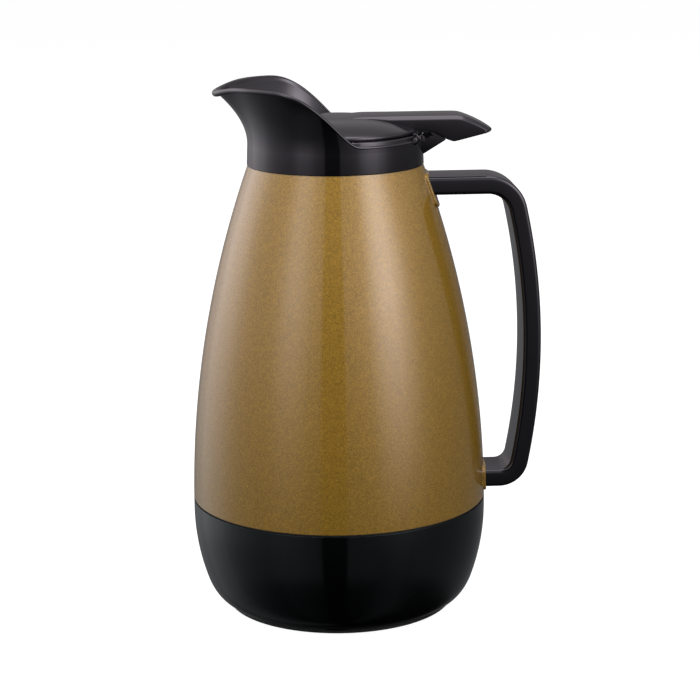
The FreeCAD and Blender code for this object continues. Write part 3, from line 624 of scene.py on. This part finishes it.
lidLook = {"radius": 35.2, "bottom": 211.0, "crown": 217.8, "bulgeRadius": 24.992, "bulgeDrop": 1.9,
           "round": 1.2, "rimDrop": 0.7, "edges": (0, 0.8, 0.35, 0.3, 0), "wall": 2.0, "lip": 0.5,
           "ringInner": 28.0, "ringOuter": 30.0, "ringBottom": 210.8, "ringSunk": 0.3,
           "boreLength": 60.0, "borePlay": 0.06, "around": 200}
leverLook = {"half": 10.2, "bevel": 1.8, "top": 218.3, "front": -27.0, "level": 12.0, "bend": (53.706, 218.3),
             "bow": (62.684, 214.5), "tip": (67.8, 211.5), "tipEdge": 0.4, "chin": (50.71, 206.85),
             "chinDip": 0.15, "chinLag": 1.6, "arch": (37.6, 212.0), "rootRun": 2.0, "nose": 4.0,
             "nosePower": 2.3, "stripSoft": 0.25, "dipSoft": 0.02, "chinSoft": 0.12, "sunk": 1.0,
             "thinnest": 0.3, "bevelShares": (0.6, 0.5), "hollow": (36.6, 59.1), "hollowWall": 2.5,
             "hollowStep": 0.02, "hollowLeast": 0.1, "roof": 216.3, "fineFrom": 52.0, "edge": 0.3,
             "topEdge": 0.85, "webX": 31.0, "webShare": 0.75, "webTop": 215.15, "webEdge": 0.2,
             "cheekPlaces": (-7.2, 7.2), "cheekWidth": 2.2, "cheekEdge": 0.2,
             "cheek": ((-1.1, 1.1), (0.0, 1.6), (2.2, 2.7), (3.4, 1.7), (4.8, 2.8), (4.8, 4.7), (0.0, 6.6),
                       (-1.1, 6.6))}


def domeHeight(r):
    # the dome falls from the crown with the cube of the radius
    return lidLook["crown"] - lidLook["bulgeDrop"] * (np.abs(r) / lidLook["bulgeRadius"]) ** 3


def domeRoof(r):
    # the inside falls with the cube of the radius too, from under the crown to the lip
    k = lidLook
    roof = k["crown"] - k["wall"]
    return roof - (roof - k["bottom"] - k["lip"]) * (r / (k["radius"] - k["wall"])) ** 3


def domeProfile():
    # out over the dome, round the rim, and back under its roof to the axis
    k = lidLook
    inner = k["radius"] - k["wall"]
    out = np.linspace(0, k["radius"] - k["round"], 60)
    outside = np.stack([out, domeHeight(out)], -1)
    back = np.linspace(inner, 0, 36)
    inside = np.stack([back, domeRoof(back)], -1)
    edge = roundedRun([outside[-1], (k["radius"], outside[-1, 1] - k["rimDrop"]), (k["radius"], k["bottom"]),
                       (inner, k["bottom"]), inside[0]], k["edges"], 7)
    return np.concatenate([outside[:-1], edge, inside[1:]])


def leverTop(x):
    # level strip that eases into an arc through bend, bow and tip; the front end dips into the dome
    k = leverLook
    run = arcRun(k["bend"], k["bow"], k["tip"], 60)
    slope = (run[1, 1] - run[0, 1]) / (run[1, 0] - run[0, 0])
    before = k["top"] + slope * (x - k["bend"][0])
    fall = np.where(x < k["bend"][0], before, np.interp(x, run[:, 0], run[:, 1]))
    strip = softMin(k["top"], fall, k["stripSoft"])
    low = domeHeight(k["front"]) - k["sunk"]
    dip = low + (k["top"] - low) * (x - k["front"]) / (k["level"] - k["front"])
    return np.where(x < k["webX"], softMin(strip, dip, k["dipSoft"]), strip)


def leverBottom(x):
    # inside the dome's wall up to the web, then a level arch, an S-shaped fall to the chin, a rise to the tip
    k = leverLook
    (archX, archZ), (chinX, chinZ), (tipX, tipZ) = k["arch"], k["chin"], k["tip"]
    fall = archZ - (archZ - chinZ + k["chinDip"]) * smoothStep((x - archX) / (chinX + k["chinLag"] - archX))
    lift = (tipZ - k["tipEdge"] - chinZ) / (tipX - chinX)
    under = softMax(fall, chinZ + lift * (x - chinX), k["chinSoft"])
    under = np.where(x < archX, archZ, under)
    root, rootRun = domeHeight(k["webX"]) - k["sunk"], k["rootRun"]
    under = np.where(x < k["webX"] + rootRun, root + (archZ - root) * (x - k["webX"]) / rootRun, under)
    front = np.minimum(domeHeight(x), leverTop(x)) - k["sunk"]
    return np.where(x < k["webX"], front, np.minimum(under, leverTop(x) - k["thinnest"]))


def leverGrid():
    # cross-sections along X: flat bottom with a hollow, upright sides, bevels, flat top, all corners eased.
    # In plan the end is a blunt nose: (run / nose) squared plus (width / half) to the nose's power is 1.
    k = leverLook
    tipX, noseX, step = k["tip"][0], k["tip"][0] - k["nose"], k["hollowStep"]
    stations = [np.linspace(k["front"], k["webX"], 60), np.linspace(k["webX"], k["fineFrom"], 60),
                np.linspace(k["fineFrom"], noseX, 50),
                noseX + (k["nose"] - step) * np.sin(np.linspace(0, np.pi / 2, 40)),
                [end + side for end in k["hollow"] for side in (-step, step)]]
    x = np.unique(np.concatenate(stations))
    run = np.clip((x - tipX + k["nose"]) / k["nose"], 0, 1)
    half = np.maximum(k["half"] * (1 - run ** 2) ** (1 / k["nosePower"]), k["thinnest"])
    top, low = leverTop(x), leverBottom(x)
    ofHeight, ofHalf = k["bevelShares"]
    bevel = np.minimum(np.minimum(k["bevel"], ofHeight * (top - low)), ofHalf * half)
    inHollow = (x > k["hollow"][0]) & (x < k["hollow"][1])
    roof = np.interp(x, [k["hollow"][0], k["bend"][0], k["hollow"][1]], [k["roof"], k["roof"], k["tip"][1]])
    roof = np.where(inHollow, roof, low)
    well = np.maximum(half - k["hollowWall"], k["hollowLeast"])
    corners = ((well, low), (half, low), (half, top - bevel), (half - bevel, top), (bevel - half, top),
               (-half, top - bevel), (-half, low), (-well, low), (-well, roof), (well, roof))
    section = np.stack([np.stack(np.broadcast_arrays(y, z), -1) for y, z in corners], 1)
    edges = [k["edge"]] * 3 + [k["topEdge"]] * 2 + [k["edge"]] * 5
    section = roundedRun(section, edges, 5, closed=True)
    return np.stack([np.broadcast_to(x[:, None], section.shape[:2]), section[..., 0], section[..., 1]], -1)


lidCover = newObject("lid_dome_lever", turnedGrid(domeProfile(), lidLook["around"]), wrapV=False)
k, v = lidLook, leverLook
ring = boxRun(k["ringInner"], k["ringOuter"], k["ringBottom"], domeRoof(k["ringInner"]) + k["ringSunk"])
joinSolid(lidCover, newObject("ring", turnedGrid(ring, 160)), "UNION")
joinSolid(lidCover, newTube("lever", leverGrid()), "UNION")
webBack = h["x"] + v["webShare"] * h["barrel"]
web = roundedRun(boxRun(v["webX"], webBack, h["z"], v["webTop"]), v["webEdge"], 3, closed=True)
joinSolid(lidCover, newTube("web", slabGrid(web, 2 * (v["half"] - v["bevel"]), v["webEdge"])), "UNION")
cheek = outlineFrom(webBack, v["cheek"], v["cheekEdge"], 3)
for place in v["cheekPlaces"]:
    joinSolid(lidCover, newTube("cheek", slabGrid(cheek, v["cheekWidth"], v["cheekEdge"], place)), "UNION")
joinSolid(lidCover, newTube("barrel", rodGrid(h["barrel"], h["barrelLength"], h["barrelEdge"])), "UNION")
bore = rodGrid(h["pin"] + k["borePlay"], k["boreLength"], around=48)
joinSolid(lidCover, newTube("bore", bore), "DIFFERENCE")
finishPiece(lidCover, "lid", "lid_cover", blackGloss)

plugLook = {"flangeRadius": 33.05, "flangeBottom": 209.4, "flangeTop": 210.8, "top": 23.8, "bottom": 22.4,
            "low": 203.4, "wall": 1.6, "edge": 0.35, "back": 29.7, "cut": (40.0, 200.0, 216.0)}
p = plugLook
plugProfile = roundedRun([(0, p["low"]), (p["bottom"], p["low"]), (p["top"], p["flangeBottom"]),
                          (p["flangeRadius"], p["flangeBottom"]), (p["flangeRadius"], p["flangeTop"]),
                          (p["top"] - p["wall"], p["flangeTop"]),
                          (p["bottom"] - p["wall"], p["low"] + p["wall"]), (0, p["low"] + p["wall"])],
                         p["edge"], 5)
lidPlug = newObject("lid_inner_cup", turnedGrid(plugProfile, 160), wrapV=False)
backCut = slabGrid(boxRun(p["back"], *p["cut"]), 2 * p["cut"][0])
joinSolid(lidPlug, newTube("back", backCut), "DIFFERENCE")
finishPiece(lidPlug, "lid", "lid_plug", blackSatin)

lidSealLook = {"inner": 23.95, "outer": 27.2, "low": 208.1, "edge": 0.45}
sealRing = boxRun(lidSealLook["inner"], lidSealLook["outer"], lidSealLook["low"], p["flangeBottom"])
sealRing = roundedRun(sealRing, lidSealLook["edge"], 5, closed=True)
lidSeal = newObject("lid_seal_ring", turnedGrid(sealRing, 160))
finishPiece(lidSeal, "lid", "lid_gasket", softGrey)


# handle: flat strap bent to a D

handleLook = {"top": 191.8, "bottom": 52.2, "reach": 89.2, "bowHeight": 117.212, "bowRadius": 280.0,
              "thick": 7.9, "width": 22.6, "edge": 1.84, "topBend": 17.4, "bottomBend": 13.0, "sunk": 0.15}


def handleGrid():
    # a rounded bar section carried along top run, bend, long bow, bend and bottom run; its ends meet the pads
    k = handleLook
    bowX = k["reach"] - k["bowRadius"]

    def bendAt(z, radius):  # X and lean of a bend that touches the bow from inside
        rise, apart = z - k["bowHeight"], k["bowRadius"] - radius
        return bowX + math.sqrt(apart ** 2 - rise ** 2), math.asin(rise / apart)

    def around(x, z, radius, fromTurn, toTurn, count):  # an arc, and at each point the way to its middle
        turn = np.linspace(fromTurn, toTurn, count)
        out = np.stack([np.cos(turn), np.sin(turn)], -1)
        return np.array([x, z]) + radius * out, -out

    topZ, lowZ = k["top"] - k["topBend"], k["bottom"] + k["bottomBend"]
    topX, topLean = bendAt(topZ, k["topBend"])
    lowX, lowLean = bendAt(lowZ, k["bottomBend"])
    bends = [around(topX, topZ, k["topBend"], np.pi / 2, topLean, 40),
             around(bowX, k["bowHeight"], k["bowRadius"], topLean, lowLean, 90),
             around(lowX, lowZ, k["bottomBend"], lowLean, -np.pi / 2, 40)]
    line = np.concatenate([bends[0][0], bends[1][0][1:-1], bends[2][0]])
    inward = np.concatenate([bends[0][1], bends[1][1][1:-1], bends[2][1]])
    half, thick = k["width"] / 2, k["thick"]
    section = roundedRun([(0, -half), (0, half), (thick, half), (thick, -half)], k["edge"], 9, closed=True)
    inset, y = section[:, 0], section[:, 1]
    strap = np.stack([line[:, :1] + inward[:, :1] * inset, np.broadcast_to(y, (len(line), len(y))),
                      line[:, 1:] + inward[:, 1:] * inset], -1)
    share = np.linspace(0, 1, 8)[:-1, None]
    ends = []
    for ring, z in ((strap[0], k["top"] - inset), (strap[-1], k["bottom"] + inset)):
        seat = np.sqrt(sideRadius(z, -padLook["proud"] + k["sunk"]) ** 2 - y ** 2)
        x = seat + share * (ring[:, 0] - seat)
        ends.append(np.stack([x, y + 0 * x, z + 0 * x], -1))
    return np.concatenate([ends[0], strap, ends[1][::-1]])


strapHandle = newTube("strap_handle", handleGrid())
finishPiece(strapHandle, "carafe", "handle", blackGloss, 40)


# glass liner and its neck gasket, seen through the mouth when the lid is open

linerLook = {"floor": 8.7, "mouth": 202.6, "neckBottom": 190.0, "neckRun": 6.0, "neckRadius": 30.5,
             "inset": 5.0, "glass": 1.6, "rim": 1.5, "rimEdge": 0.6, "gap": 8.5,
             "shares": (0.14, 0.4, 0.65, 0.78, 0.89), "heelRadius": 0.66, "heelRise": 0.02}


def linerSide(inset):
    # a spline by arc length from the neck down the side, round the heel to the middle of the floor
    k = linerLook
    rise = k["neckBottom"] - k["floor"]
    neck, middle = k["neckRadius"] - inset, (0, k["floor"] + inset)
    z = k["neckBottom"] - np.array(k["shares"]) * rise
    heelOut = k["heelRadius"] * (body["bellyRadius"] - k["gap"])
    heel = (heelOut - inset, k["floor"] + k["heelRise"] * rise + inset)
    points = np.concatenate([[(neck, k["neckBottom"] + k["neckRun"]), (neck, k["neckBottom"])],
                             np.stack([sideRadius(z, k["gap"]) - inset, z], -1), [heel, middle]])
    length = runLength(points)
    marks = np.linspace(length[1], length[-1], 90)
    run = np.stack([splineAt(length, points[:, i], marks) for i in range(2)], -1)
    run[-1] = middle
    return np.maximum(run, [0, -1])


def bottleProfile():
    # up the outside from the middle of the floor, round the mouth's rim, and down the inside
    k = linerLook
    outside, inside = linerSide(k["inset"]), linerSide(k["inset"] + k["glass"])
    neckOut, neckIn = k["neckRadius"] - k["inset"], k["neckRadius"] - k["inset"] - k["glass"]
    rimLow = k["mouth"] - k["rim"]
    mouth = roundedRun([outside[0], (neckOut, rimLow), (k["neckRadius"], rimLow),
                        (k["neckRadius"], k["mouth"]), (neckIn, k["mouth"]), inside[0]], k["rimEdge"], 6)
    return np.concatenate([outside[::-1][:-1], mouth, inside[1:]])


glassBottle = newObject("glass_liner_inner", turnedGrid(bottleProfile(), 160), wrapV=False)
finishPiece(glassBottle, "carafe", "glass_inner_bottle", silverInside)

gasketLook = {"inner": 25.6, "step": 30.85, "outer": 33.35, "low": 198.6, "edge": 0.35}
g, mouth, under = gasketLook, linerLook["mouth"], collarLook["under"]
gasketProfile = [(g["inner"], mouth), (g["step"], mouth), (g["step"], g["low"]), (g["outer"], g["low"]),
                 (g["outer"], under), (g["inner"], under)]
gasketProfile = roundedRun(gasketProfile, g["edge"], 5, closed=True)
neckSeal = newObject("neck_seal", turnedGrid(gasketProfile, 160))
finishPiece(neckSeal, "carafe", "neck_gasket", softGrey)

hiddenFinish = {"liner_cushion": softGrey, "glass_outer_bottle": silverOutside, "liner_spacers": softGrey,
                "handle_screws": drawnSteel, "handle_washers": drawnSteel}
for name, material in hiddenFinish.items():
    cadNodes[name].data.materials.clear()
    cadNodes[name].data.materials.append(material)
print("inner nodes dressed:", len(hiddenFinish))


# studio: pale floor, soft lamps, and a light tent that only shows as reflections in the gloss

cameraTurn = 3.2  # degrees that the camera stands off the Y axis
floorLook = {"size": 16.0, "glow": 0.96, "colour": 0.18}
worldLook = {"white": 1.0, "fill": 0.15}
side = np.linspace(-floorLook["size"], floorLook["size"], 9) / mm
floorGrid = np.stack([*np.meshgrid(side, side, indexing="ij"), np.zeros((9, 9))], -1)
floor = newObject("floor", floorGrid, wrapU=False, wrapV=False)


def seenRays(tree):
    # 1 for rays that look at the background straight, in gloss or through glass
    paths = addNode(tree, "ShaderNodeLightPath").outputs
    straight = maths(tree, "MAXIMUM", paths["Is Camera Ray"], paths["Is Glossy Ray"])
    return maths(tree, "MAXIMUM", straight, paths["Is Transmission Ray"])


paleFloor = bpy.data.materials.new("paleFloor")
paleFloor.use_nodes = True
tree = paleFloor.node_tree
tree.nodes.clear()
matt = addNode(tree, "ShaderNodeBsdfDiffuse", {"Color": (floorLook["colour"],) * 3 + (1,)})
glow = addNode(tree, "ShaderNodeEmission", {"Strength": product(tree, seenRays(tree), floorLook["glow"])})
both = addNode(tree, "ShaderNodeAddShader", {0: matt.outputs[0], 1: glow.outputs[0]})
addNode(tree, "ShaderNodeOutputMaterial", {"Surface": both.outputs[0]})
paleFloor.cycles.emission_sampling = "NONE"
floor.data.materials.append(paleFloor)
floor.visible_glossy = False

world = bpy.data.worlds.new("studio")
world.use_nodes = True
tree = world.node_tree
tree.nodes.clear()
white = addNode(tree, "ShaderNodeBackground", {"Color": (1, 1, 1, 1), "Strength": worldLook["white"]})
fill = addNode(tree, "ShaderNodeBackground", {"Color": (1, 1, 1, 1), "Strength": worldLook["fill"]})
pick = addNode(tree, "ShaderNodeMixShader", {0: seenRays(tree), 1: fill.outputs[0], 2: white.outputs[0]})
addNode(tree, "ShaderNodeOutputWorld", {"Surface": pick.outputs[0]})
bpy.context.scene.world = world

# The tent's glow is the sum of front boxes, a side box, a low band and a ceiling. A box is a curve of the
# azimuth times a curve of the height angle, the ceiling is a curve of height alone, all in degrees.
# Azimuth 0 is where the camera stands, positive towards the handle.
tentLook = {
    "radius": 2.6, "middle": 0.12,
    "tint": (1.0, 0.955, 1.0), "lowTint": (0.95, 0.96, 1.0), "tintRise": (-13.5, -9.5),
    "front": ((-180, 0), (-90, 0), (-72, 0.3), (-60, 0.9), (-50, 1.95), (-41, 2.6), (-32, 2.2), (-24, 1.4),
              (-14.5, 0.8), (-12.5, 0.15), (-10, 0.04), (4.5, 0.04), (7, 0.8), (16, 1.05), (24, 1.45),
              (32, 2.85), (40, 4.55), (50, 5.45), (58, 4.4), (66, 3.0), (76, 1.4), (86, 0.85), (110, 0.4),
              (150, 0), (180, 0)),
    "frontRise": ((-90, 0), (-60, 0.01), (-20, 0.03), (-15, 0.09), (-9, 0.21), (-2.5, 0.38), (4, 0.61),
                  (10, 0.82), (17, 1.0), (24, 0.98), (38, 0.7), (56, 0.3), (66, 0.1), (90, 0)),
    "side": ((-180, 0.21), (-162, 0.42), (-150, 0.85), (-140, 1.2), (-126, 2.05), (-112, 2.2), (-100, 1.8),
             (-88, 1.25), (-70, 0.7), (-50, 0.25), (-30, 0.08), (20, 0.05), (130, 0.1), (160, 0.18),
             (180, 0.21)),
    "sideRise": ((-90, 0.02), (-60, 0.05), (-30, 0.14), (-20, 0.27), (-12.5, 0.44), (-3.6, 0.7), (5.6, 0.98),
                 (11, 1.05), (30, 0.9), (45, 0.7), (60, 0.4), (75, 0), (90, 0)),
    "low": ((-180, 0.06), (-75, 0.06), (-40, 0.1), (-14.5, 0.07), (-12.5, 0), (4.5, 0), (7, 0.08), (20, 0.08),
            (45, 0.03), (75, 0.09), (140, 0.1), (180, 0.06)),
    "lowRise": ((-90, 0), (-52, 0), (-38, 0.7), (-30, 1.1), (-20, 1.0), (-10, 0.6), (0, 0), (90, 0)),
    "ceiling": ((-90, 0), (10, 0), (24, 0.22), (45, 0.34), (54, 0.6), (60, 0.95), (66, 2.0), (72, 3.4),
                (90, 3.8)),
}


def curveOf(tree, angle, table):
    # a smooth curve through the table's points, over angles from the first one to the last one
    low, high = table[0][0], table[-1][0]
    top = max(value for _, value in table)
    share = spread(tree, angle, 0.0, 1.0, math.radians(low), math.radians(high))
    node = addNode(tree, "ShaderNodeFloatCurve", {"Value": share})
    curve = node.mapping.curves[0]
    spots = [((mark - low) / (high - low), value / top) for mark, value in table]
    for point, spot in zip(curve.points, (spots[0], spots[-1])):
        point.location = spot
    for spot in spots[1:-1]:
        curve.points.new(*spot)
    for point in curve.points:
        point.handle_type = "AUTO_CLAMPED"
    node.mapping.update()
    return product(tree, node.outputs[0], top)


def makeTent():
    # a sphere by azimuth and height angle, whose material works out the same two angles and adds up the boxes
    k = tentLook
    around = np.linspace(0, 2 * np.pi, 96, endpoint=False)[:, None]
    rise = np.linspace(-np.pi / 2, np.pi / 2, 49)[None, :]
    ball = [np.cos(around) * np.cos(rise), np.sin(around) * np.cos(rise), np.sin(rise) + 0 * around]
    tent = newObject("light_tent", np.stack(ball, -1) * k["radius"] / mm, wrapV=False)
    tent.data.shade_smooth()
    material = bpy.data.materials.new("tentGlow")
    material.use_nodes = True
    tree = material.node_tree
    tree.nodes.clear()
    place = addNode(tree, "ShaderNodeTexCoord")
    x, y, z = addNode(tree, "ShaderNodeSeparateXYZ", {0: place.outputs["Object"]}).outputs
    azimuth = maths(tree, "ARCTAN2", x, product(tree, y, -1.0))
    azimuth = maths(tree, "ADD", azimuth, math.radians(cameraTurn))
    flat = maths(tree, "SQRT", maths(tree, "ADD", product(tree, x, x), product(tree, y, y)), 0.0)
    height = maths(tree, "ARCTAN2", maths(tree, "SUBTRACT", z, k["middle"]), flat)
    glow = curveOf(tree, height, k["ceiling"])
    for box in ("front", "side", "low"):
        bright = product(tree, curveOf(tree, azimuth, k[box]), curveOf(tree, height, k[box + "Rise"]))
        glow = maths(tree, "ADD", glow, bright)
    raised = spread(tree, height, 0.0, 1.0, *(math.radians(mark) for mark in k["tintRise"]))
    tint = addNode(tree, "ShaderNodeMix", {0: raised, 6: (*k["lowTint"], 1), 7: (*k["tint"], 1)},
                   data_type="RGBA")
    shine = addNode(tree, "ShaderNodeEmission", {"Color": tint.outputs[2], "Strength": glow})
    addNode(tree, "ShaderNodeOutputMaterial", {"Surface": shine.outputs[0]})
    material.cycles.emission_sampling = "NONE"
    tent.data.materials.append(material)
    tent.visible_camera = tent.visible_diffuse = tent.visible_shadow = tent.visible_transmission = False


makeTent()

lampTarget = (0, 0, 0.1)
lamps = {
    "lampLeft": {"place": (-0.5, -0.5, 1.08), "size": (0.78, 0.78), "power": 12.6},
    "lampRight": {"place": (0.585, -0.41, 1.08), "size": (0.78, 0.78), "power": 12.6},
    "lampBack": {"place": (0.0, 1.0, 1.5), "size": (1.6, 1.2), "power": 24.0},
}
for name, look in lamps.items():
    lamp = bpy.data.lights.new(name, "AREA")
    lamp.shape = "RECTANGLE"
    lamp.size, lamp.size_y = look["size"]
    lamp.energy = look["power"]
    holder = bpy.data.objects.new(name, lamp)
    bpy.context.scene.collection.objects.link(holder)
    place = np.array(look["place"])
    back = place - np.array(lampTarget)
    back = back / np.linalg.norm(back)
    across = np.cross([0, 0, 1], back)
    across = across / np.linalg.norm(across)
    turn = np.eye(4)
    turn[:3, 0], turn[:3, 1], turn[:3, 2], turn[:3, 3] = across, np.cross(back, across), back, place
    holder.matrix_world = Matrix(turn.tolist())
    holder.visible_glossy = holder.visible_camera = False
print("studio ready:", len(lamps), "lamps and the tent")


# camera, fitted to the photograph's outline

cameraLook = {"distance": 0.90795, "height": 0.32691, "pitch": 0.2304, "yaw": 0.0061, "roll": -0.0103,
              "lens": 108.404, "sensor": 36.0, "clip": (0.05, 60.0)}
k = cameraLook
cosP, sinP, cosY, sinY = math.cos(k["pitch"]), math.sin(k["pitch"]), math.cos(k["yaw"]), math.sin(k["yaw"])
forward = np.array([sinY * cosP, cosY * cosP, -sinP])
right = np.array([cosY, -sinY, 0])
up = np.cross(right, forward)
cosR, sinR = math.cos(k["roll"]), math.sin(k["roll"])
right, up = cosR * right + sinR * up, cosR * up - sinR * right
cosT, sinT = math.cos(math.radians(cameraTurn)), math.sin(math.radians(cameraTurn))
spin = np.array([[cosT, sinT, 0], [-sinT, cosT, 0], [0, 0, 1]])
pose = np.eye(4)
pose[:3, 0], pose[:3, 1], pose[:3, 2] = spin @ right, spin @ up, -(spin @ forward)
pose[:3, 3] = spin @ np.array([0, -k["distance"], k["height"]])
camera = bpy.data.cameras.new("camera")
camera.lens, camera.sensor_width = k["lens"], k["sensor"]
camera.clip_start, camera.clip_end = k["clip"]
cameraHolder = bpy.data.objects.new("camera", camera)
bpy.context.scene.collection.objects.link(cameraHolder)
cameraHolder.matrix_world = Matrix(pose.tolist())
bpy.context.scene.camera = cameraHolder
bpy.context.scene.view_settings.view_transform = "Standard"

bpy.context.view_layer.update()
